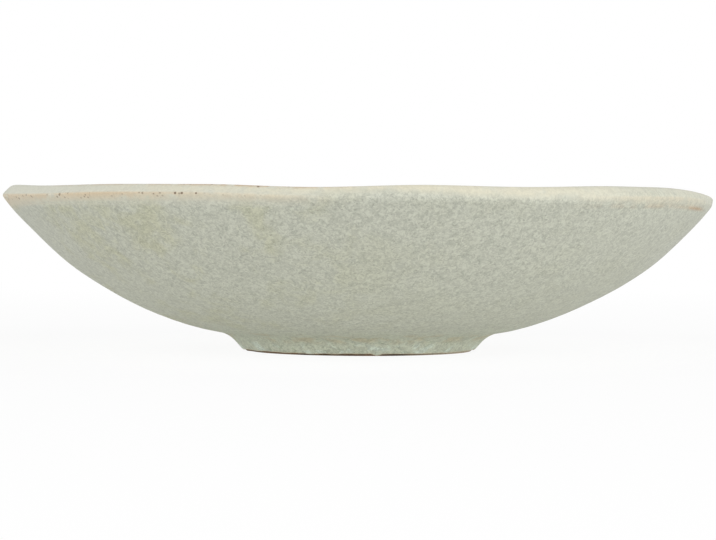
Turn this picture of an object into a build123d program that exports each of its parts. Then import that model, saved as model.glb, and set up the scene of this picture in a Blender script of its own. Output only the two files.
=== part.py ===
from build123d import *
import os
from math import acos, asin, atan2, cos, hypot, pi, radians, sin, sqrt

# Ikebana suiban: a wide, shallow stoneware flower bowl on a low foot ring, glazed inside and out.
# Sizes are millimetres. The origin is the centre of the plane that the foot rests on, +Z is up and
# the front is -Y. Sections lie in a half plane of radius and height. The foot is turned about Z. The
# bowl's lip dips by hand, so the bowl and its coats are skinned over rings that follow their section
# round the axis. Directions round the rim are degrees from the right (+X) through the front.

# Clay bowl, where its lip stands highest
RIM_RADIUS = 139.6  # outermost reach of the lip
RIM_HEIGHT = 64.3  # top of the lip above the table
LIP_THICKNESS = 6.8  # width of the rounded lip
FLOOR_THICKNESS = 6.0  # clay between the level floor and the foot ring
WALL_START_SLOPE = 9.0  # rise of the outer wall where it leaves the foot, degrees

# Hand-worked rim: direction, depth and half width in degrees of each sag
RIM_SAGS = (
    (0.0, 3.7, 38.0),
    (64.0, 0.7, 17.0),
    (97.0, 1.0, 17.0),
    (148.0, 0.5, 20.0),
    (206.0, 0.6, 18.0),
    (258.0, 1.0, 24.0),
    (305.0, 0.5, 16.0),
)
LIP_THINNING = 0.9  # lip width lost for each millimetre of sag

# Foot ring
FOOT_HEIGHT = 7.5  # table to the seat under the bowl
FOOT_TOP_RADIUS = 51.0  # outer edge of the seat
FOOT_RADIUS = 44.8  # outer edge at the foot of the flank
FOOT_TREAD = 6.0  # width of the face that stands on the table
FOOT_BEVEL = 0.7  # bare bevel along both edges of the tread
WELL_TAPER = 1.5  # how far the wall of the well leans inwards on its way up

# Glaze
GLAZE_THICKNESS = 0.8
BARE_BAND = 0.2  # clay left bare between the bevel and the outer coat
POOL_RADIUS = 8.0  # curve of the glaze pooled in the corner between wall and foot
WELL_CREEP = 2.5  # how far the glaze in the well climbs the foot ring
WELL_EDGE = 0.25  # thickness of that glaze at its edge

# Skin: steps along each stretch of a section, and points and edges round each ring
POOL_STEPS = 4
WALL_STEPS = 16
LIP_STEPS = 6
BASIN_STEPS = 16
RING_POINTS = 48
RING_EDGES = 4


def on_circle(centre, radius, angle):
    """Point of the half plane: angle 0 lies straight below the centre, pi/2 outwards."""
    return centre[0] + radius * sin(angle), centre[1] - radius * cos(angle)


def arc_stations(centre, radius, first, last, steps):
    """Evenly spaced points of the half plane along an arc, both ends included."""
    turn = (last - first) / steps
    return [on_circle(centre, radius, first + turn * step) for step in range(steps + 1)]


def line(*points):
    """Straight edges through points of the half plane."""
    return Polyline(*[(r, 0, z) for r, z in points])


def arc(centre, radius, first, last):
    """Circular edge of the half plane between two angles."""
    return ThreePointArc(*[(r, 0, z) for r, z in arc_stations(centre, radius, first, last, 2)])


def turned(*edges):
    """Solid of revolution from the edges of a closed section."""
    return revolve(make_face(edges), Axis.Z)


def circle(station):
    """Ring that is the same in every direction, as equal arcs of a true circle."""
    radius, height = station
    level = Plane((0, 0, height), x_dir=(1, 0, 0), z_dir=(0, 0, -1))
    sweep = 360 / RING_EDGES
    return [Edge.make_circle(radius, level, sweep * arc, sweep * (arc + 1)) for arc in range(RING_EDGES)]


def ring(stations):
    """Smooth closed ring through one point of the half plane for each direction round the axis."""
    if len(set(stations)) == 1:
        return circle(stations[0])
    turns = [2 * pi * place / RING_POINTS for place in range(RING_POINTS)]
    points = [Vector(r * cos(turn), -r * sin(turn), z) for turn, (r, z) in zip(turns, stations)]
    stride = RING_POINTS // RING_EDGES
    knots = [step / stride for step in range(stride + 1)]
    edges = []
    for first in range(0, RING_POINTS, stride):
        places = [(first + step) % RING_POINTS for step in range(stride + 1)]
        ends = (places[0], places[-1])
        tangents = [(points[(end + 1) % RING_POINTS] - points[end - 1]) * (stride / 2) for end in ends]
        run = [points[place] for place in places]
        edges.append(Edge.make_spline(run, tangents, parameters=knots, scale=False))
    return edges


def rings(section, *settings):
    """One ring for each station of a section that is worked out afresh in every direction."""
    turns = [2 * pi * place / RING_POINTS for place in range(RING_POINTS)]
    sections = [section(turn, *settings) for turn in turns]
    return [ring(stations) for stations in zip(*sections)]


def skinned(loops, capped):
    """Solid between neighbouring rings, capped flat at both ends or closed from the last to the first."""
    pairs = list(zip(loops, loops[1:]))
    caps = []
    if capped:
        caps = [Face(Wire(loops[0])), Face(Wire(loops[-1]))]
    else:
        pairs.append((loops[-1], loops[0]))
    bands = [Face.make_surface_from_curves(*edges) for pair in pairs for edges in zip(*pair)]
    return Solid(Shell(bands + caps))


# Outer wall: one arc that leaves the seat at its start slope and runs tangent into the round lip
wall_start = radians(WALL_START_SLOPE)
high_lip = LIP_THICKNESS / 2
seat_edge = (FOOT_TOP_RADIUS, FOOT_HEIGHT)
reach = RIM_RADIUS - high_lip - seat_edge[0]
rise = RIM_HEIGHT - high_lip - seat_edge[1]
offset = rise * cos(wall_start) - reach * sin(wall_start)
wall_radius = (reach**2 + rise**2 - high_lip**2) / (2 * (offset - high_lip))
wall_centre = on_circle(seat_edge, wall_radius, wall_start + pi)
floor_height = FOOT_HEIGHT + FLOOR_THICKNESS


def rim_sag(turn):
    """How far the rim lies below its highest level in this direction."""
    total = 0.0
    for direction, depth, half_width in RIM_SAGS:
        away = abs((turn - radians(direction) + pi) % (2 * pi) - pi)
        share = min(away / radians(half_width), 1)
        total += depth * (1 + cos(pi * share)) / 2
    return total


def lip(turn):
    """Radius and centre of the round lip, and the slope of the wall where it meets the lip."""
    sag = rim_sag(turn)
    radius = (LIP_THICKNESS - LIP_THINNING * sag) / 2
    slope = acos((wall_centre[1] - RIM_HEIGHT + sag + radius) / (wall_radius - radius))
    return radius, on_circle(wall_centre, wall_radius - radius, slope), slope


def outside(turn, coat, start):
    """Stations up the outer wall from the angle start and over the lip to its crest."""
    radius, centre, slope = lip(turn)
    wall = arc_stations(wall_centre, wall_radius + coat, start, slope, WALL_STEPS)
    shoulder = arc_stations(centre, radius + coat, slope, pi, LIP_STEPS)
    return wall[:-1] + shoulder


def inside(turn, coat):
    """Stations from the crest of the lip down the basin, one arc that meets the floor level."""
    radius, centre, slope = lip(turn)
    top = on_circle(centre, radius, slope + pi)
    basin_radius = (top[1] - floor_height) / (1 - cos(slope))
    basin_centre = on_circle(top, basin_radius, slope + pi)
    shoulder = arc_stations(centre, radius + coat, pi, slope + pi, LIP_STEPS)
    basin = arc_stations(basin_centre, basin_radius - coat, slope, 0, BASIN_STEPS)
    return shoulder[:-1] + basin


# Bowl: wall, lip, basin and level floor, standing on the seat of the foot ring
clay_outside = rings(outside, 0, wall_start)
clay_inside = rings(inside, 0)
bowl_body = skinned(clay_outside + clay_inside[1:], capped=True)

# Foot ring: flared flank outside, steeper wall of the well inside, flat tread between two bevels
tread_outer = FOOT_RADIUS - FOOT_BEVEL
tread_inner = tread_outer - FOOT_TREAD
well_mouth = tread_inner - FOOT_BEVEL
well_top = well_mouth - WELL_TAPER
flank_foot = (FOOT_RADIUS, FOOT_BEVEL)
foot_ring = turned(
    line(
        (tread_inner, 0),
        (tread_outer, 0),
        flank_foot,
        seat_edge,
        (well_top, FOOT_HEIGHT),
        (well_mouth, FOOT_BEVEL),
        (tread_inner, 0),
    )
)

# Pool: the outer coat rounds the corner between flank and wall, tangent to its face on both
flank_slope = atan2(seat_edge[1] - flank_foot[1], seat_edge[0] - flank_foot[0])
along = (cos(flank_slope), sin(flank_slope))
coat_foot = on_circle(flank_foot, GLAZE_THICKNESS, flank_slope)
pool_foot = on_circle(coat_foot, POOL_RADIUS, flank_slope)
away = (pool_foot[0] - wall_centre[0], pool_foot[1] - wall_centre[1])
span = wall_radius + GLAZE_THICKNESS + POOL_RADIUS
closing = -(away[0] * along[0] + away[1] * along[1])
climb = closing - sqrt(closing**2 + span**2 - hypot(*away) ** 2)
pool_centre = (pool_foot[0] + climb * along[0], pool_foot[1] + climb * along[1])
pool_end = asin((pool_centre[0] - wall_centre[0]) / span)

# Outer glaze: from the glaze line on the foot up the wall to the crest of the lip
glaze_line = FOOT_BEVEL + BARE_BAND
bare_edge = (flank_foot[0] + BARE_BAND * along[0] / along[1], glaze_line)
coat_edge = (coat_foot[0] + (glaze_line - coat_foot[1]) * along[0] / along[1], glaze_line)
pool = arc_stations(pool_centre, POOL_RADIUS, flank_slope + pi, pool_end + pi, POOL_STEPS)
hem = [circle(station) for station in [bare_edge, coat_edge] + pool[:-1]]
coat_outside = rings(outside, GLAZE_THICKNESS, pool_end)
outer_glaze = skinned(hem + coat_outside + clay_outside[::-1], capped=False)

# Inner glaze: from the crest of the lip down into the basin and across its floor
coat_inside = rings(inside, GLAZE_THICKNESS)
inner_glaze = skinned(coat_inside[::-1] + clay_inside, capped=True)

# Glaze in the well: a flat pool that curves down a little way on to the wall of the foot ring
pool_level = FOOT_HEIGHT - GLAZE_THICKNESS
creep_level = FOOT_HEIGHT - WELL_CREEP
creep_wall = well_top + WELL_CREEP * WELL_TAPER / (FOOT_HEIGHT - FOOT_BEVEL)
creep_edge = creep_wall - WELL_EDGE
curve_radius = pool_level - creep_level
curve_centre = (creep_edge - curve_radius, creep_level)
foot_well_glaze = turned(
    line(
        (curve_centre[0], pool_level),
        (0, pool_level),
        (0, FOOT_HEIGHT),
        (well_top, FOOT_HEIGHT),
        (creep_wall, creep_level),
        (creep_edge, creep_level),
    ),
    arc(curve_centre, curve_radius, pi / 2, pi),
)

nodes = {
    "bowl_body": bowl_body,
    "foot_ring": foot_ring,
    "outer_glaze": outer_glaze,
    "inner_glaze": inner_glaze,
    "foot_well_glaze": foot_well_glaze,
}
os.makedirs("parts", exist_ok=True)
for name, solid in nodes.items():
    export_step(solid, f"parts/{name}.step")
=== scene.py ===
from math import acos, asin, atan2, cos, hypot, pi, radians, sin, sqrt

import bmesh
import bpy
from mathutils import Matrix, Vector, noise


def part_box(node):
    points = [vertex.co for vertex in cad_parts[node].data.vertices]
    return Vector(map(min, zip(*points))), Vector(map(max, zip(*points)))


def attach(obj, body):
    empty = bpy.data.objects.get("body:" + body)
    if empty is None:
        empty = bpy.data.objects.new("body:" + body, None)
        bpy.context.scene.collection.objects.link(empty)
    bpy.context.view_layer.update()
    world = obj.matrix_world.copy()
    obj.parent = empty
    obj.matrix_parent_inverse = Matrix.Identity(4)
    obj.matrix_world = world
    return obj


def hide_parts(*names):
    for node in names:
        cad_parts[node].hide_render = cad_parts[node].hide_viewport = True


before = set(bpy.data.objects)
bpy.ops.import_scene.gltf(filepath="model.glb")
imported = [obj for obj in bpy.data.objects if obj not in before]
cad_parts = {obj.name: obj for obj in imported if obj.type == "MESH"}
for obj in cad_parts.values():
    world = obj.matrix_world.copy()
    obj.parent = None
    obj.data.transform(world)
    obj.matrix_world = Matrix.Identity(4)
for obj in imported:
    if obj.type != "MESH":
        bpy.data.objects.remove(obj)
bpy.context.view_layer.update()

# Bowl: the clay itself, thrown in one piece from a brown stoneware and fired once before glazing. Its
# wall rises in one even arc from the foot to a rounded lip, and the rim keeps the small sags that the
# potter's fingers and the kiln left in it. The foot and the glaze coats cover it all over.
bowl_low, bowl_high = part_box("bowl_body")
foot_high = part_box("foot_ring")[1]
coat_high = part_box("outer_glaze")[1]
RIM_RADIUS = -bowl_low.x  # the left end of the rim doesn't sag
RIM_HEIGHT = bowl_high.z
SEAT_RADIUS = foot_high.x
SEAT_HEIGHT = foot_high.z
COAT = coat_high.z - bowl_high.z  # thickness of the glaze
LIP_THICKNESS = 0.0068
LIP_THINNING = 0.9  # width that the lip loses, as a share of the sag
FLOOR_THICKNESS = 0.006
WALL_START = radians(9)  # rise of the wall where it leaves the foot
# Each sag: degrees round the rim from the right through the front, depth, half width in degrees
RIM_SAGS = (
    (0, 0.0037, 38),
    (64, 0.0007, 17),
    (97, 0.0010, 17),
    (148, 0.0005, 20),
    (206, 0.0006, 18),
    (258, 0.0010, 24),
    (305, 0.0005, 16),
)
BOWL_STEPS = 180  # directions round the axis
CLAY_STATIONS = 24  # along the wall, and again along the basin
CLAY_LIP_STATIONS = 14
HALF_SHEET = 0.5
MERGE_DISTANCE = 1e-6
SHARP_ANGLE = radians(40)


def on_circle(centre, radius, angle):
    """Point of a half plane through the axis: angle 0 lies straight below the centre, pi/2 outwards."""
    return centre[0] + radius * sin(angle), centre[1] - radius * cos(angle)


def spaced(first, last, count):
    """Evenly spaced values from first to last, both included."""
    return [first + (last - first) * step / (count - 1) for step in range(count)]


def hump(angle, place, half_width):
    """A smooth rise to 1 at one place round a circle, in degrees, and 0 beyond its half width."""
    away = abs((angle - radians(place) + pi) % (2 * pi) - pi) / radians(half_width)
    return (1 + cos(pi * away)) / 2 if away < 1 else 0.0


lip_nominal = LIP_THICKNESS / 2
reach = RIM_RADIUS - lip_nominal - SEAT_RADIUS
rise = RIM_HEIGHT - lip_nominal - SEAT_HEIGHT
offset = rise * cos(WALL_START) - reach * sin(WALL_START)
wall_radius = (reach**2 + rise**2 - lip_nominal**2) / (2 * (offset - lip_nominal))
wall_centre = on_circle((SEAT_RADIUS, SEAT_HEIGHT), wall_radius, WALL_START + pi)
floor_height = SEAT_HEIGHT + FLOOR_THICKNESS


class Rim:
    """The lip and the basin below it in one direction round the bowl."""

    def __init__(self, direction):
        sag = sum(depth * hump(direction, place, width) for place, depth, width in RIM_SAGS)
        self.lip = (LIP_THICKNESS - LIP_THINNING * sag) / 2
        self.slope = acos((wall_centre[1] - RIM_HEIGHT + sag + self.lip) / (wall_radius - self.lip))
        self.centre = on_circle(wall_centre, wall_radius - self.lip, self.slope)
        basin_top = on_circle(self.centre, self.lip, self.slope + pi)
        self.basin_radius = (basin_top[1] - floor_height) / (1 - cos(self.slope))
        self.basin_centre = on_circle(basin_top, self.basin_radius, self.slope + pi)


def clay_section(direction):
    """Stations of the clay from the middle of the seat up the wall, over the lip and across the floor."""
    rim = Rim(direction)
    wall = [on_circle(wall_centre, wall_radius, a) for a in spaced(WALL_START, rim.slope, CLAY_STATIONS)]
    lip = [on_circle(rim.centre, rim.lip, rim.slope + a) for a in spaced(0, pi, CLAY_LIP_STATIONS)]
    basin = [on_circle(rim.basin_centre, rim.basin_radius, a) for a in spaced(rim.slope, 0, CLAY_STATIONS)]
    return [(0, SEAT_HEIGHT)] + wall + lip[1:-1] + basin + [(0, floor_height)]


def swung(direction, radius, height):
    """Point of the half plane swung round the axis, from the right through the front."""
    return radius * cos(direction), -radius * sin(direction), height


def placed(name, data):
    """New object in the scene."""
    item = bpy.data.objects.new(name, data)
    bpy.context.scene.collection.objects.link(item)
    return item


def turned(name, section, steps, closed=False, marks=()):
    """Object turned on the wheel: a sheet of cells wrapped round the axis, each row one station of the
    section. After a radius and a height, a station may hold further numbers, kept under the marks."""
    sections = [section(2 * pi * step / steps) for step in range(steps)]
    if closed:
        sections = [stations + stations[:1] for stations in sections]
    rows = len(sections[0]) - 1
    bm = bmesh.new()
    layers = [bm.verts.layers.float.new(mark) for mark in marks]
    bmesh.ops.create_grid(bm, x_segments=steps, y_segments=rows, size=HALF_SHEET)
    for vert in bm.verts:
        step = round((vert.co.x + HALF_SHEET) * steps)
        radius, height, *values = sections[step % steps][round((vert.co.y + HALF_SHEET) * rows)]
        vert.co = swung(2 * pi * step / steps, radius, height)
        for layer, value in zip(layers, values):
            vert[layer] = value
    bmesh.ops.remove_doubles(bm, verts=bm.verts, dist=MERGE_DISTANCE)
    bmesh.ops.recalc_face_normals(bm, faces=bm.faces)
    for face in bm.faces:
        face.smooth = True
    for edge in bm.edges:
        edge.smooth = edge.calc_face_angle(0) < SHARP_ANGLE
    mesh = bpy.data.meshes.new(name)
    bm.to_mesh(mesh)
    bm.free()
    return placed(name, mesh)


class Socket:
    """A value that changes over a surface: arithmetic on it adds Math nodes to its finish."""

    def __init__(self, finish, output):
        self.finish = finish
        self.output = output

    def maths(self, operation, *terms):
        sockets = dict(enumerate(terms))
        return self.finish.node("Math", {"operation": operation}, sockets)

    def __add__(self, other):
        return self.maths("ADD", self, other)

    def __sub__(self, other):
        return self.maths("SUBTRACT", self, other)

    def __rsub__(self, other):
        return self.maths("SUBTRACT", other, self)

    def __mul__(self, other):
        return self.maths("MULTIPLY", self, other)

    def __abs__(self):
        return self.maths("ABSOLUTE", self)

    __radd__ = __add__
    __rmul__ = __mul__


# Places of a Mix node's sockets for colours
MIX_UNDER = 6
MIX_OVER = 7
MIX_RESULT = 2


class Finish:
    """The nodes of a material, or of the room. node() adds any node: its type, its settings, then its
    sockets by name or place."""

    def __init__(self, owner):
        owner.use_nodes = True
        owner.node_tree.nodes.clear()
        self.owner = owner

    def node(self, kind, settings=None, sockets=None, output=0):
        tree = self.owner.node_tree
        node = tree.nodes.new("ShaderNode" + kind)
        for setting, value in (settings or {}).items():
            setattr(node, setting, value)
        for key, value in (sockets or {}).items():
            if isinstance(value, Socket):
                tree.links.new(value.output, node.inputs[key])
            else:
                node.inputs[key].default_value = value
        return Socket(self, node.outputs[output] if node.outputs else None)

    def place(self):
        """Place on the piece, in metres."""
        return self.node("TexCoord", output="Object")

    def grain(self, place, scale, detail=2, rough=0.5, distortion=0):
        """Noise from 0 to 1, with about so many grains to the metre as its scale says."""
        sockets = {
            "Vector": place,
            "Scale": scale,
            "Detail": detail,
            "Roughness": rough,
            "Distortion": distortion,
        }
        return self.node("TexNoise", None, sockets, "Fac")

    def fade(self, value, low, high):
        """Smooth rise from 0 at low to 1 at high, level beyond."""
        sockets = {"Value": value, "From Min": low, "From Max": high}
        return self.node("MapRange", {"interpolation_type": "SMOOTHSTEP"}, sockets)

    def blend(self, factor, under, over, how="MIX"):
        """One colour laid over another."""
        settings = {"data_type": "RGBA", "blend_type": how}
        return self.node("Mix", settings, {0: factor, MIX_UNDER: under, MIX_OVER: over}, MIX_RESULT)

    def relief(self, height, strength, depth):
        """Fine unevenness that shows in the light alone."""
        return self.node("Bump", None, {"Strength": strength, "Distance": depth, "Height": height})

    def surface(self, piece, tint, roughness, relief):
        """Ends the material and gives it to the piece."""
        sockets = {"Base Color": tint, "Roughness": roughness, "Normal": relief}
        principled = self.node("BsdfPrincipled", None, sockets)
        self.node("OutputMaterial", None, {"Surface": principled})
        piece.data.materials.append(self.owner)


def colour(red, green, blue):
    """Linear colour from the usual 0 to 255 screen values."""
    return tuple(((c / 255 + 0.055) / 1.055) ** 2.4 for c in (red, green, blue)) + (1.0,)


CLAY_DARK = colour(88, 72, 54)
CLAY_LIGHT = colour(132, 108, 82)
CLAY_PALE = colour(190, 178, 158)
CLAY_GRIT = colour(64, 50, 40)
# A scale counts grains to the metre, limits are the noise between which a layer fades in, a share is
# how far it covers what lies below
TOAST_SCALE = 90
TOAST_LIMITS = (0.35, 0.65)
PALE_SIDE = (0.012, 0.036)  # from the middle to the right, metres
PALE_SHARE = 0.8
SAND_SCALE = 1900
SAND_DEPTH = 0.00025
SAND_STRENGTH = 0.5
GRIT_SCALE = 1300
GRIT_LIMITS = (0.66, 0.72)
GRIT_SHARE = 0.7
CLAY_ROUGHNESS = 0.82
CLAY_ROUGHNESS_SPREAD = 0.12


def clay_finish(name, piece):
    """Toasted stoneware: two browns, paler on the right, dark iron grit and a fine sandy tooth."""
    finish = Finish(bpy.data.materials.new(name))
    place = finish.place()
    toast = finish.fade(finish.grain(place, TOAST_SCALE, detail=4), *TOAST_LIMITS)
    tint = finish.blend(toast, CLAY_DARK, CLAY_LIGHT)
    across = finish.node("SeparateXYZ", None, {0: place}, "X")
    tint = finish.blend(finish.fade(across, *PALE_SIDE) * PALE_SHARE, tint, CLAY_PALE)
    sand = finish.grain(place, SAND_SCALE, detail=3, rough=0.6)
    grit = finish.fade(finish.grain(place, GRIT_SCALE, detail=1), *GRIT_LIMITS)
    tint = finish.blend(grit * GRIT_SHARE, tint, CLAY_GRIT)
    tooth = finish.relief(sand, SAND_STRENGTH, SAND_DEPTH)
    finish.surface(piece, tint, CLAY_ROUGHNESS + sand * CLAY_ROUGHNESS_SPREAD, tooth)


bowl = turned("clay_bowl", clay_section, BOWL_STEPS)
clay_finish("stoneware", bowl)
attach(bowl, "root")
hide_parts("bowl_body")

# Foot: a low ring of the same clay under the bowl, turned to a flared flank outside and a steeper
# wall inside. Its tread and the two small bevels beside it are wiped bare, so the fired clay shows.
FOOT_RADIUS = 0.0448
FOOT_TREAD = 0.006
FOOT_BEVEL = 0.0007
WELL_TAPER = 0.0015
TURNING_PITCH = 0.0011
TURNING_DEPTH = 0.00004
CHIP_DEPTH = 0.00024
CHIPS = (22, 3.1)  # rises and falls round the foot, seed
FOOT_SHIFT = 0.0011  # how far the foot stands out where it was turned off centre
FOOT_SHIFT_PLACE = (180, 75)  # degrees round the foot, half width
FOOT_SHIFT_TOP = 0.014  # height at which the shift has faded out
FOOT_STEPS = 240
TREAD_STATIONS = 40
BEVEL_STATIONS = 5
BEVEL_START = 0.2  # angle at which each bevel leaves the tread
tread_outer = FOOT_RADIUS - FOOT_BEVEL
tread_inner = tread_outer - FOOT_TREAD
well_mouth = tread_inner - FOOT_BEVEL
well_top = well_mouth - WELL_TAPER


def waver(direction, turns, seed):
    """A smooth closed wander round the bowl, about -1 to 1, with so many rises and falls."""
    size = turns / pi
    return 2 * noise.noise(Vector((size * cos(direction), size * sin(direction), seed)))


def shifted(direction, stations):
    """Stations moved out where the foot was turned a little off centre, ever less up the wall."""
    bulge = FOOT_SHIFT * hump(direction, *FOOT_SHIFT_PLACE)
    return [(r + bulge * max(0, 1 - (z / FOOT_SHIFT_TOP) ** 2), z, *marks) for r, z, *marks in stations]


def foot_section(direction):
    """Stations of the ring: up the flank, across the seat, down the well and back over the tread."""
    outer_bevel = FOOT_BEVEL - CHIP_DEPTH * (1 + waver(direction, *CHIPS)) / 2
    bevel_turns = spaced(BEVEL_START, pi / 2, BEVEL_STATIONS)
    bevel = [on_circle((tread_outer, FOOT_BEVEL), outer_bevel, a) for a in bevel_turns]
    seat = [(SEAT_RADIUS, SEAT_HEIGHT)]
    well = [(well_top, SEAT_HEIGHT)]
    lower = [on_circle((tread_inner, FOOT_BEVEL), FOOT_BEVEL, -a) for a in reversed(bevel_turns)]
    across = spaced(0, FOOT_TREAD, TREAD_STATIONS)
    tread = [(tread_inner + s, abs(TURNING_DEPTH * sin(2 * pi * s / TURNING_PITCH))) for s in across]
    return shifted(direction, bevel + seat) + well + lower + tread


foot = turned("foot_ring_clay", foot_section, FOOT_STEPS, closed=True)
clay_finish("bare_stoneware", foot)
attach(foot, "root")
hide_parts("foot_ring")

# Outer glaze: a satin celadon coat, dipped, that runs from the crest of the lip down the wall, pools
# in the corner over the foot and stops in a rolled, wandering edge just above the table. It breaks
# thin and warm along the lip, where specks of iron come through from the clay, and its pale over the
# lip's upper face is also painted light, standing in for light from above.
BARE_BAND = 0.00055
POOL_RADIUS = 0.013  # curve of the glaze in the corner over the foot
EDGE_WANDER = 0.00022
EDGE_WAVES = (26, 7.7)  # rises and falls round the glaze's edge, seed
EDGE_TAN = 0.45
RUN_LENGTH = 0.0009  # one run of glaze below the edge
RUN_PLACE = (82, 3)  # degrees round the foot, half width
COAT_STEPS = 400
EDGE_STATIONS = 7
FLANK_STATIONS = 8
POOL_STATIONS = 10
WALL_STATIONS = 150
LIP_STATIONS = 30
BACK_LIP_STATIONS = 8  # on the side of the coat that lies against the clay
BACK_STATIONS = 16
flank_slope = atan2(SEAT_HEIGHT - FOOT_BEVEL, SEAT_RADIUS - FOOT_RADIUS)
along = (cos(flank_slope), sin(flank_slope))
outward = (sin(flank_slope), -cos(flank_slope))


def on_flank(distance, lift):
    """Point so far up the flank of the foot from its lower corner, lifted off the clay."""
    radius = FOOT_RADIUS + distance * along[0] + lift * outward[0]
    return radius, FOOT_BEVEL + distance * along[1] + lift * outward[1]


pool_foot = on_flank(0, COAT + POOL_RADIUS)
away = (pool_foot[0] - wall_centre[0], pool_foot[1] - wall_centre[1])
span = wall_radius + COAT + POOL_RADIUS
closing = -(away[0] * along[0] + away[1] * along[1])
climb = closing - sqrt(closing**2 + span**2 - hypot(*away) ** 2)
pool_centre = (pool_foot[0] + climb * along[0], pool_foot[1] + climb * along[1])
pool_end = asin((pool_centre[0] - wall_centre[0]) / span)

# Form of the lip, with places in degrees round the rim and half widths in degrees
CRISP_PLACE = (135, 55)
WORN_PLACE = (190, 60)
WORN_SHARE = 0.15  # how square the worn edge is
BEVEL_TURN = radians(84)
BEVEL_LEAN = radians(14)
LEAN_PLACE = (125, 45)
BEVEL_UPRIGHT = radians(27)
UPRIGHT_PLACE = (0, 30)
SOFT_EDGE = 3.4  # the higher this power, the sharper the edge
CRISP_EDGE = 22
NOSE_CORNER = 0.22  # how far the corner stands out, as a share of the lip's round
NOSE_PLACE = (0, 24)
NOSE_ANGLE = (128, 50)  # round the lip's section from straight below


def squared(direction):
    """How square the lower edge of the lip is: crisp on the left of the front, a soft roll on the right."""
    return max(hump(direction, *CRISP_PLACE), WORN_SHARE * hump(direction, *WORN_PLACE))


def bevel_turn(direction):
    """Angle between the faces of the wall and of the bevel that the lip was trimmed to."""
    lean = BEVEL_LEAN * hump(direction, *LEAN_PLACE)
    return BEVEL_TURN + lean - BEVEL_UPRIGHT * hump(direction, *UPRIGHT_PLACE)


def edge_reach(direction, past):
    """How far the lip stands out, as a share of its round, at an angle past the wall: wall and bevel
    meet in an edge that is crisp in some directions and worn soft in others."""
    turn = bevel_turn(direction)
    if past > turn:
        return 1.0
    crisp = SOFT_EDGE + (CRISP_EDGE - SOFT_EDGE) * squared(direction)
    return (max(cos(past), 0) ** crisp + max(cos(past - turn), 0) ** crisp) ** (-1 / crisp)


def lip_reach(direction, rim, angle):
    """Distance of the coat's face from the middle of the lip. The right end has a blunt upper corner."""
    nose = 1 + NOSE_CORNER * hump(direction, *NOSE_PLACE) * hump(angle, *NOSE_ANGLE)
    return (rim.lip + COAT) * edge_reach(direction, angle - rim.slope) * nose


# Unevenness of the wall
DENT_DEPTH = 0.00022
DENT_SCALE = 2.2
DENT_START = 0.05  # angle of the wall's arc over which the dents set in
LOW_WALL = 0.03  # height at which the turning rings have faded out
RING_DEPTH = 0.00003
RING_PITCH = 0.0021
RING_WANDER = 3  # radians
RING_SCALE = 2


def dent(direction, angle):
    """Unevenness of a hand-made wall at an angle of its arc: shallow dents, and fine rings left by
    turning low on the wall."""
    height = on_circle(wall_centre, wall_radius + COAT, angle)[1]
    place = Vector((cos(direction), sin(direction), height / LOW_WALL))
    low = max(0, 1 - height / LOW_WALL)
    phase = 2 * pi * height / RING_PITCH + RING_WANDER * noise.noise(place * RING_SCALE)
    return 2 * DENT_DEPTH * noise.noise(place * DENT_SCALE) + RING_DEPTH * low * sin(phase)


# Where each colour of the lip is strong, or its pale, partly painted light, dull: degrees round the
# rim, strength, half width in degrees
TAN_PLACES = (
    (36, 0.3, 26),
    (104, 0.35, 14),
    (134, 0.9, 36),
    (176, 0.9, 40),
    (235, 0.7, 45),
    (300, 0.5, 40),
)
CREAM_PLACES = (
    (35, 0.5, 45),
    (70, 0.7, 40),
    (93, 0.6, 25),
    (116, 0.7, 28),
    (250, 0.7, 50),
    (320, 0.8, 40),
)
RUST_PLACES = ((108, 1.0, 22), (134, 0.5, 20), (215, 0.6, 30), (280, 0.7, 25))
RUST_STROKE = ((23, 0.65, 9), (38, 0.25, 24))
DULL_PLACES = ((40, 0.5, 30), (14, 0.3, 20))
# Where the pale band ends above or below the lip's edge: degrees round the rim, distance, half width
BAND_SHIFTS = ((90, -0.0015, 18), (57, 0.0008, 22))
# Pale glaze, partly thin glaze and partly painted light on the lip's upper face: distances above the
# lip's edge between which it sets in, at once where the lip is trimmed and in two steps where it is
# rolled
TRIMMED_PALE = (-0.0046, -0.0006)
ROLLED_PALE = (-0.0028, 0.0002)
ROLLED_CREST = (0.0014, 0.003)
ROLLED_SHARE = 0.25  # how pale the first step is
CRISP_FULL = 0.5  # how square an edge is that counts as trimmed
# Cream: it sets in lower where the lip is trimmed, and hangs down on the right of the front
CREAM_START = -0.0005
CREAM_DROP = 0.0015
CREAM_FULL = 0.002
CREAM_HANG = 0.0045
HANG_PLACE = (32, 30)  # degrees round the rim, half width
# Tan: it fades out above and below the lip's edge, and reaches further down at the left end
TAN_RISE = 0.0007
TAN_FALL = 0.003
TAN_FALL_LEFT = 0.004
FALL_PLACE = (176, 34)  # degrees round the rim, half width
# Rust: it lies along the crest, and in a stroke below the lip's edge
CREST_WIDTH = 0.0029
STROKE_DROP = 0.0032
STROKE_WIDTH = 0.0012


def strength(direction, places):
    """How strong a feature is in one direction round the rim, 0 to 1."""
    return min(1.0, sum(share * hump(direction, place, width) for place, share, width in places))


def ramp(value, low, high):
    """Straight rise from 0 at low to 1 at high, level beyond."""
    return min(1.0, max(0.0, (value - low) / (high - low)))


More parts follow.
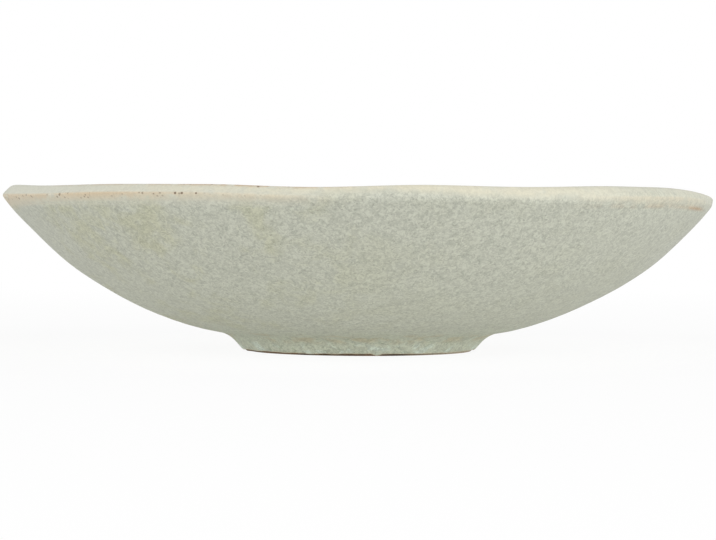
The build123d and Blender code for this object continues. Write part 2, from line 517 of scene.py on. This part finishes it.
def thinning_and_lip_light(direction, above, below_crest):
    """Marks of the lip: pale and cream over its roll, the pale partly a painted highlight on its upper
    face, tan below its edge, rust on its crest. The distances are those above the lower edge of the lip
    and down from the crest."""
    crisp = ramp(squared(direction), 0, CRISP_FULL)
    inside = above + sum(shift * hump(direction, place, width) for place, shift, width in BAND_SHIFTS)
    trimmed = ramp(inside, *TRIMMED_PALE)
    rolled = ROLLED_SHARE * ramp(inside, *ROLLED_PALE) + (1 - ROLLED_SHARE) * ramp(inside, *ROLLED_CREST)
    bright = 1 - strength(direction, DULL_PLACES)
    # Pale: thin glaze, and painted light on the lip's upper face
    pale = bright * (crisp * trimmed + (1 - crisp) * rolled)
    hang = CREAM_HANG * hump(direction, *HANG_PLACE)
    cream = bright * ramp(inside + hang, CREAM_START - CREAM_DROP * crisp, CREAM_FULL)
    fall = TAN_FALL + TAN_FALL_LEFT * hump(direction, *FALL_PLACE)
    band = max(0, 1 - above / TAN_RISE) if above > 0 else max(0, 1 + above / fall)
    crest = max(0, 1 - below_crest / CREST_WIDTH)
    stroke = max(0, 1 - abs(above + STROKE_DROP) / STROKE_WIDTH)
    rust = crest * strength(direction, RUST_PLACES) + stroke * strength(direction, RUST_STROKE)
    tan = band * strength(direction, TAN_PLACES)
    return pale, cream * strength(direction, CREAM_PLACES), tan, rust


def coat_section(direction):
    """Stations of the coat: round its edge at the foot, up to the crest, and back down along the clay."""
    rim = Rim(direction)
    corner = rim.slope + bevel_turn(direction) / 2
    run = RUN_LENGTH * hump(direction, *RUN_PLACE)
    start = BARE_BAND + EDGE_WANDER * waver(direction, *EDGE_WAVES) - run
    edge = []
    for turn in spaced(-pi / 2, pi / 2, EDGE_STATIONS):
        lift = COAT / 2 * (1 + sin(turn))
        edge.append((*on_flank(start + COAT / 2 * (1 - cos(turn)), lift), 0, 0, EDGE_TAN))
    flank = [on_flank(d, COAT) for d in spaced(start + COAT / 2, climb, FLANK_STATIONS)[1:]]
    pool_turns = spaced(flank_slope + pi, pool_end + pi, POOL_STATIONS)
    pool = [on_circle(pool_centre, POOL_RADIUS, a) for a in pool_turns[1:]]
    wall = []
    for angle in spaced(pool_end, rim.slope, WALL_STATIONS)[1:]:
        lift = dent(direction, angle) * min(1, (angle - pool_end) / DENT_START)
        above = (angle - rim.slope) * wall_radius - (corner - rim.slope) * rim.lip
        marks = thinning_and_lip_light(direction, above, (pi - corner) * rim.lip - above)
        wall.append((*on_circle(wall_centre, wall_radius + COAT + lift, angle), *marks))
    lift = dent(direction, rim.slope)
    lip = []
    for angle in spaced(rim.slope, pi, LIP_STATIONS)[1:]:
        size = lip_reach(direction, rim, angle) + lift
        marks = thinning_and_lip_light(direction, (angle - corner) * size, (pi - angle) * size)
        lip.append((*on_circle(rim.centre, size, angle), *marks))
    back_lip = [on_circle(rim.centre, rim.lip, a) for a in spaced(pi, rim.slope, BACK_LIP_STATIONS)]
    back_turns = spaced(rim.slope, WALL_START, BACK_STATIONS)
    back = [on_circle(wall_centre, wall_radius, a) for a in back_turns[1:]]
    return shifted(direction, edge + flank + pool + wall) + lip + back_lip + back


MARKS = ("pale", "cream", "tan", "rust", "deep")
outer = turned("celadon_outside", coat_section, COAT_STEPS, closed=True, marks=MARKS)
CELADON = colour(184, 186, 172)
OLIVE = colour(180, 180, 151)
# Lighter than the celadon: a greener glaze, lightened as painted fill light for the shade under the bowl
FOOT_GREEN_AND_FILL_LIGHT = colour(190, 194, 177)
SPOT_GREEN = colour(156, 165, 141)
POOL_GREEN = colour(162, 173, 150)
OPAL = colour(206, 215, 204)
TAN = colour(205, 184, 152)
BLOT = colour(184, 170, 138)
PALE = colour(203, 203, 188)
CREAM = colour(213, 208, 186)
RUST = colour(178, 138, 90)
IRON = colour(98, 74, 52)
# Olive clouds, more of them on the left
CLOUD_SCALE = 30
BLOTCH_SCALE = 105
OLIVE_LIMITS = (0.9, 1.25)
OLIVE_SIDE = (0.03, -0.06)  # from right to left, metres
OLIVE_LEAST = 0.1
OLIVE_LEFT = 0.5  # added to it on the left
# Green glaze low on the foot, also lightened there as painted fill light against the shade under the
# bowl, with darker spots, opal patches and brown blots, by height in metres
WANDER_SCALE = 160
WANDER_HEIGHT = 0.004
GREEN_HEIGHTS = (0.0145, 0.0075)
SPOT_SCALE = 420
SPOT_LIMITS = (0.62, 0.72)
SPOT_SHARE = 0.6
OPAL_SCALE = 210
OPAL_LIMITS = (0.5, 0.65)
OPAL_HEIGHTS = (0.006, 0.003)
OPAL_SHARE = 0.8
BLOT_SCALE = 125
BLOT_LIMITS = (0.48, 0.62)
BLOT_HEIGHT = 0.0068
BLOT_REACH = (0.0028, 0.0006)
BLOT_SHARE = 0.5
# Warm colours of the lip, broken into patches
PATCH_SCALE = 160
CREAM_LIMITS = (0.15, 0.65)
TAN_LIMITS = (0.2, 0.5)
RUST_LIMITS = (0.32, 0.55)
# Specks of iron: fine ones strewn where the lip is warm, and the largest, placed one by one
SPECK_SCALE = 520
SPECK_EDGE = (0.32, 0.16)  # as a share of the space between specks
SPECK_CHANCE = (0.2, 0.3)
SPECK_WARMTH = (0.25, 0.55)
SPECK_SHARE = 0.62
LARGE_SPECK_EDGE = (1.3, 0.6)  # as a share of the speck's size
LARGE_SPECK_SHARE = 0.85
# Each large speck: degrees round the rim, place from the lip's edge 0 to its crest 1, size
LARGE_SPECKS = (
    (117.6, 0, 0.0005),
    (116.5, 0, 0.0005),
    (114.2, 0, 0.0004),
    (105.2, 0.7, 0.0005),
)
# Mottle of pale flecks and dark furrows, calmer over the lip
FLECK_SCALE = 560
FLECK_LIMITS = (0.34, 0.66)
FLECK_LIGHT = 0.27
FURROW_SCALE = 390
FURROW_LEVEL = 0.5  # the furrows run where the noise has this value
FURROW_WIDTH = 0.06
FURROW_DARK = 0.19
FURROW_DEPTH = 0.4
MOTTLE_MEAN = 0.118
LIP_CALM = 0.65
SKIN_STRENGTH = 0.35
SKIN_DEPTH = 0.0002
SATIN_ROUGHNESS = 0.48
SATIN_SPREAD = 0.2


def celadon_finish(name, piece):
    """Satin celadon: a mottle of flecks and darker furrows on a grey-green ground that turns olive in
    clouds, greener and spotted where it pools, and warm where it thins over the lip. Painted light: it
    is paler over the lip's upper face and lighter low on the foot."""
    finish = Finish(bpy.data.materials.new(name))
    place = finish.place()
    across = finish.node("SeparateXYZ", None, {0: place}, "X")
    height = finish.node("SeparateXYZ", None, {0: place}, "Z")
    marks = [finish.node("Attribute", {"attribute_name": mark}, output="Fac") for mark in MARKS]
    thin_and_lit, cream, tan, rust, deep = marks

    cloud = finish.grain(place, CLOUD_SCALE, distortion=0.4)
    blotch = finish.grain(place, BLOTCH_SCALE, detail=3, rough=0.6, distortion=0.6)
    side = finish.fade(across, *OLIVE_SIDE)
    olive = finish.fade(cloud + blotch, *OLIVE_LIMITS) * (OLIVE_LEAST + OLIVE_LEFT * side)
    tint = finish.blend(olive, CELADON, OLIVE)

    wander = finish.grain(place, WANDER_SCALE)
    low = finish.fade(height + wander * WANDER_HEIGHT, *GREEN_HEIGHTS)
    # Painted light: the low band is the greener glaze and also a lighter tint that stands in for light
    # under the bowl
    tint = finish.blend(low, tint, FOOT_GREEN_AND_FILL_LIGHT)
    tint = finish.blend(deep, tint, POOL_GREEN)
    spots = finish.fade(finish.grain(place, SPOT_SCALE, detail=1, distortion=0.8), *SPOT_LIMITS)
    tint = finish.blend(low * spots * SPOT_SHARE, tint, SPOT_GREEN)
    patches = finish.fade(finish.grain(place, OPAL_SCALE), *OPAL_LIMITS)
    opal = patches * finish.fade(height, *OPAL_HEIGHTS)
    tint = finish.blend(opal * OPAL_SHARE, tint, OPAL)
    stains = finish.fade(finish.grain(place, BLOT_SCALE, detail=3), *BLOT_LIMITS)
    blots = stains * finish.fade(abs(height - BLOT_HEIGHT), *BLOT_REACH)
    tint = finish.blend(blots * BLOT_SHARE, tint, BLOT)

    patchy = finish.grain(place, PATCH_SCALE, distortion=0.5)
    # Pale over the lip: partly thin glaze, partly painted light on its upper face
    tint = finish.blend(thin_and_lit, tint, PALE)
    tint = finish.blend(cream * finish.fade(patchy, *CREAM_LIMITS), tint, CREAM)
    tint = finish.blend(tan * finish.fade(patchy, *TAN_LIMITS), tint, TAN)
    tint = finish.blend(rust * finish.fade(patchy, *RUST_LIMITS), tint, RUST)

    cells = {"Vector": place, "Scale": SPECK_SCALE}
    near = finish.node("TexVoronoi", None, cells, "Distance")
    draw = finish.node("TexVoronoi", None, cells, "Color")
    chance = finish.node("SeparateColor", None, {0: draw}, "Red")
    speck = finish.fade(near, *SPECK_EDGE) * finish.fade(chance, *SPECK_CHANCE)
    tint = finish.blend(speck * finish.fade(tan + rust, *SPECK_WARMTH) * SPECK_SHARE, tint, IRON)
    for degrees, up, size in LARGE_SPECKS:
        direction = radians(degrees)
        rim = Rim(direction)
        corner = rim.slope + bevel_turn(direction) / 2
        angle = corner + up * (pi - corner)
        spot = swung(direction, *on_circle(rim.centre, lip_reach(direction, rim, angle), angle))
        gap = finish.node("VectorMath", {"operation": "DISTANCE"}, {0: place, 1: spot}, "Value")
        dot = finish.fade(gap, *[size * edge for edge in LARGE_SPECK_EDGE])
        tint = finish.blend(dot * LARGE_SPECK_SHARE, tint, IRON)

    grain = finish.grain(place, FLECK_SCALE, rough=0.6, distortion=1.4)
    flecks = finish.fade(grain, *FLECK_LIMITS)
    veins = finish.grain(place, FURROW_SCALE, detail=1, distortion=1.8)
    furrow = finish.fade(abs(veins - FURROW_LEVEL), FURROW_WIDTH, 0)
    mottle = flecks * FLECK_LIGHT - furrow * FURROW_DARK - MOTTLE_MEAN
    calm = 1 - LIP_CALM * finish.fade(thin_and_lit + cream + tan, 0, 1)
    shade = 1 + mottle * calm
    grey = finish.node("CombineColor", None, {0: shade, 1: shade, 2: shade})
    tint = finish.blend(1, tint, grey, "MULTIPLY")
    skin = finish.relief((grain - furrow * FURROW_DEPTH) * calm, SKIN_STRENGTH, SKIN_DEPTH)
    finish.surface(piece, tint, SATIN_ROUGHNESS + grain * SATIN_SPREAD, skin)


celadon_finish("celadon", outer)
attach(outer, "root")
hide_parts("outer_glaze")

# Inner glaze: the same celadon, poured, that lines the basin from the crest of the lip to the floor.
# It lies over the faint spiral that the potter's finger left, and pools a little in the middle.
BASIN_STATIONS = 130
FLOOR_STATIONS = 60
SPIRAL_PITCH = 0.0095
SPIRAL_HEIGHT = 0.0003
SPIRAL_START = 0.012  # radius at which the spiral has set in
SPIRAL_FULL = 0.03  # radius from which it fades
SPIRAL_REACH = 0.115
SPIRAL_PALE = 0.2
SPIRAL_DEEP = 0.2
FLOOR_POOL_FULL = 0.03
FLOOR_POOL_REACH = 0.062
FLOOR_POOL_DEEP = 0.5
INNER_EDGE = 0.002  # how far up the inside of the lip its marks begin


def lining_station(direction, radius, height):
    """Station raised by the finger's spiral, ever fainter towards the rim, with the glaze's marks: pale
    where it thins over the spiral, deep in its furrows and in the middle of the floor."""
    faint = ramp(radius, 0, SPIRAL_START) * ramp(radius, SPIRAL_REACH, SPIRAL_FULL)
    wave = faint * sin(2 * pi * radius / SPIRAL_PITCH - direction)
    pale = SPIRAL_PALE * max(0, wave)
    pool = FLOOR_POOL_DEEP * ramp(radius, FLOOR_POOL_REACH, FLOOR_POOL_FULL)
    return radius, height + SPIRAL_HEIGHT * wave, pale, 0, 0, 0, pool + SPIRAL_DEEP * max(0, -wave)


def lining_section(direction):
    """Stations of the lining: from the middle of the floor up to the crest, and back along the clay."""
    rim = Rim(direction)
    level = floor_height + COAT
    bottom = [lining_station(direction, r, level) for r in spaced(0, rim.basin_centre[0], FLOOR_STATIONS)]
    basin = []
    for angle in spaced(0, rim.slope, BASIN_STATIONS)[1:]:
        place = on_circle(rim.basin_centre, rim.basin_radius - COAT, angle)
        basin.append(lining_station(direction, *place))
    lift = dent(direction, rim.slope)
    lip = []
    for angle in spaced(rim.slope + pi, pi, LIP_STATIONS)[1:]:
        climbed = rim.slope + pi - angle
        size = rim.lip + COAT + lift * climbed / rim.slope
        marks = thinning_and_lip_light(direction, climbed * size - INNER_EDGE, (angle - pi) * size)
        lip.append((*on_circle(rim.centre, size, angle), *marks))
    back_lip = [on_circle(rim.centre, rim.lip, a) for a in spaced(pi, rim.slope + pi, BACK_LIP_STATIONS)]
    back_turns = spaced(rim.slope, 0, BACK_STATIONS)
    back = [on_circle(rim.basin_centre, rim.basin_radius, a) for a in back_turns[1:]]
    return bottom + basin + lip + back_lip + back + [(0, floor_height)]


lining = turned("celadon_inside", lining_section, COAT_STEPS, marks=MARKS)
celadon_finish("celadon_lining", lining)
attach(lining, "root")
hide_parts("inner_glaze")

# Glaze in the well: a separate patch of the celadon under the base, inside the foot ring. It is flat
# in the middle and curves down a little way on to the clay of the ring.
WELL_CREEP = 0.0025  # how far the glaze comes down the ring
WELL_WANDER = 0.0004
WELL_WAVES = (18, 1.7)  # rises and falls round its edge, seed
WELL_EDGE = 0.00025
WELL_STATIONS = 14
WELL_BEND_STATIONS = 10
pool_level = SEAT_HEIGHT - COAT


def well_section(direction):
    """Stations of the patch: out along its face, down its curve to the edge and back along the clay."""
    creep = WELL_CREEP + WELL_WANDER * waver(direction, *WELL_WAVES)
    level = SEAT_HEIGHT - creep
    wall = well_top + creep * WELL_TAPER / (SEAT_HEIGHT - FOOT_BEVEL)
    curve = pool_level - level
    centre = (wall - WELL_EDGE - curve, level)
    face = [(r, pool_level) for r in spaced(0, centre[0], WELL_STATIONS)]
    bend = [on_circle(centre, curve, a) for a in spaced(pi, pi / 2, WELL_BEND_STATIONS)[1:]]
    return face + bend + [(wall, level), (well_top, SEAT_HEIGHT), (0, SEAT_HEIGHT)]


well = turned("celadon_well", well_section, FOOT_STEPS)
celadon_finish("celadon_well", well)
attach(well, "root")
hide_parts("foot_well_glaze")

# Setting: a plain white floor that keeps a soft shadow and glows near the bowl, a painted glow that
# lights the foot from below, a white room all round with three broad windows, and a long lens at
# about the height of the rim.
WHITE = (1, 1, 1, 1)
BLACK = (0, 0, 0, 1)
FLOOR_GREY = (0.85, 0.85, 0.85, 1)
FLOOR_HALF = 8
FLOOR_WHITE = 0.88  # share of plain white that the camera sees near the bowl, all of it further off
FLOOR_WHITE_REACH = (0.15, 0.9)  # distances from the axis
FLOOR_GLOW = 0.25
FLOOR_GLOW_REACH = (0.2, 0.08)
ROOM_LIGHT = 0.76
# Each window: name, energy, place
WINDOWS = (
    ("front_window", 14, (0.35, -1.9, 0.3)),
    ("left_window", 11.5, (-1.9, -0.5, 0.5)),
    ("right_window", 15, (1.9, -0.5, 0.5)),
)
WINDOW_SIZE = 1.6
WINDOW_AIM = (0, 0, 0.05)
CAMERA_DISTANCE = 1.142
CAMERA_HEIGHT = 0.0585
CAMERA_SIDE = -0.001
CAMERA_LENS = 144.05
CAMERA_SENSOR = 36
CAMERA_PITCH = radians(1.33)
CAMERA_ROLL = radians(-0.24)

floor_mesh = bpy.data.meshes.new("floor")
bm = bmesh.new()
bmesh.ops.create_grid(bm, x_segments=1, y_segments=1, size=FLOOR_HALF)
bm.to_mesh(floor_mesh)
bm.free()
floor = placed("floor", floor_mesh)
white = Finish(bpy.data.materials.new("white_floor"))
seen = white.node("LightPath", output="Is Camera Ray")
distance = white.node("VectorMath", {"operation": "LENGTH"}, {0: white.place()}, "Value")
share = FLOOR_WHITE + (1 - FLOOR_WHITE) * white.fade(distance, *FLOOR_WHITE_REACH)
plain = white.node("BsdfDiffuse", None, {"Color": FLOOR_GREY})
# Painted glow: the floor gives off light near the bowl, most under it, and so lights the foot from below
glow_near_bowl = white.blend(white.fade(distance, *FLOOR_GLOW_REACH), BLACK, WHITE)
glow = white.node("Emission", None, {"Color": glow_near_bowl, "Strength": FLOOR_GLOW})
table = white.node("AddShader", None, {0: plain, 1: glow})
bright = white.node("Emission", None, {"Color": WHITE, "Strength": 1})
mixed = white.node("MixShader", None, {0: seen * share, 1: table, 2: bright})
white.node("OutputMaterial", None, {"Surface": mixed})
floor.data.materials.append(white.owner)

room = Finish(bpy.data.worlds.new("white_room"))
seen = room.node("LightPath", output="Is Camera Ray")
light = room.node("Background", None, {"Color": WHITE, "Strength": ROOM_LIGHT})
backdrop = room.node("Background", None, {"Color": WHITE, "Strength": 1})
mixed = room.node("MixShader", None, {0: seen, 1: light, 2: backdrop})
room.node("OutputWorld", None, {"Surface": mixed})
bpy.context.scene.world = room.owner

for name, energy, place in WINDOWS:
    window = bpy.data.lights.new(name, "AREA")
    window.shape = "DISK"
    window.size = WINDOW_SIZE
    window.energy = energy
    lamp = placed(name, window)
    lamp.location = place
    lamp.rotation_euler = (Vector(WINDOW_AIM) - lamp.location).to_track_quat("-Z", "Y").to_euler()

lens = bpy.data.cameras.new("camera")
lens.lens = CAMERA_LENS
lens.sensor_width = CAMERA_SENSOR
lens.sensor_fit = "HORIZONTAL"
camera = placed("camera", lens)
camera.location = (CAMERA_SIDE, -CAMERA_DISTANCE, CAMERA_HEIGHT)
camera.rotation_euler = (pi / 2 - CAMERA_PITCH, CAMERA_ROLL, 0)
bpy.context.scene.camera = camera
bpy.context.scene.view_settings.view_transform = "Standard"
